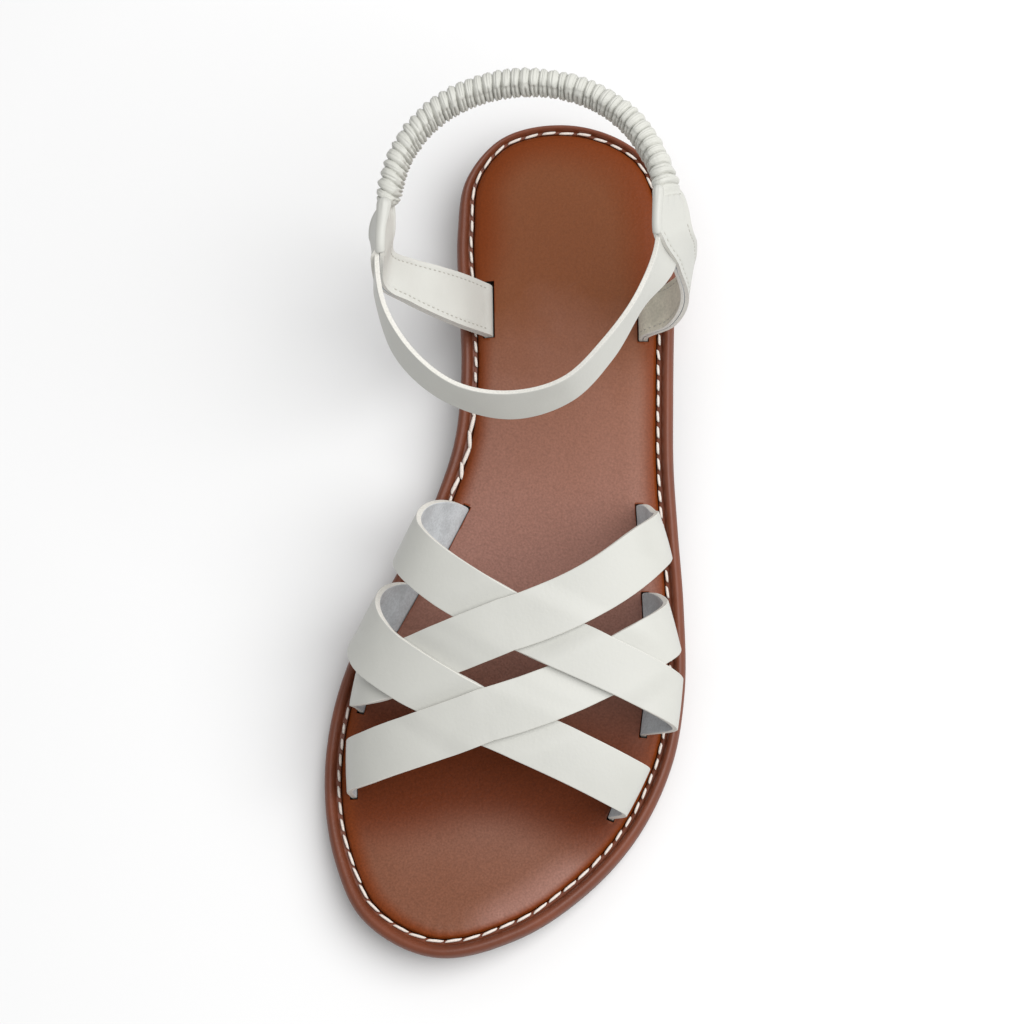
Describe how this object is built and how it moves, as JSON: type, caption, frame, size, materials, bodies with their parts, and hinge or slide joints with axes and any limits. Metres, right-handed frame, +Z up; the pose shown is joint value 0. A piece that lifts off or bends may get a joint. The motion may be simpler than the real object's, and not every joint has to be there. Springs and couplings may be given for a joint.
{
  "type": "roman sandal",
  "caption": "Flat left sandal: padded footbed with rolled, stitched rim and low heel, woven leather straps over the forefoot, and an ankle ring with a ruched elastic back.",
  "frame": {"origin": "middle of the sandal's box, on the floor plane its heel and ball stand on", "axes": "+Y from toe to heel along the sole's length, +X to the lateral side, +Z up"},
  "size_m": [0.1028, 0.2514, 0.0817],
  "materials": {
    "outsole": "matte brown rubber sheet",
    "heel_lift": "matte brown rubber block",
    "rim": "smooth brown leather, rolled and satin",
    "insole": "padded tan leather, fine grain, satin",
    "forefoot_straps": "off-white smooth leather with raw edges",
    "heel_tab_medial": "off-white doubled leather, stitched edges",
    "heel_tab_lateral": "off-white doubled leather, stitched edges",
    "ankle_strap_front": "off-white smooth leather",
    "ankle_strap_elastic": "off-white thin leather gathered over elastic"
  },
  "bodies": {
    "root": {"outsole": "outsole", "heel_lift": "heel_lift", "rim": "rim", "insole": "insole", "forefoot_straps": "forefoot_straps", "heel_tab_medial": "heel_tab_medial", "heel_tab_lateral": "heel_tab_lateral", "ankle_strap_front": "ankle_strap_front", "ankle_strap_elastic": "ankle_strap_elastic"}
  },
  "joints": []
}
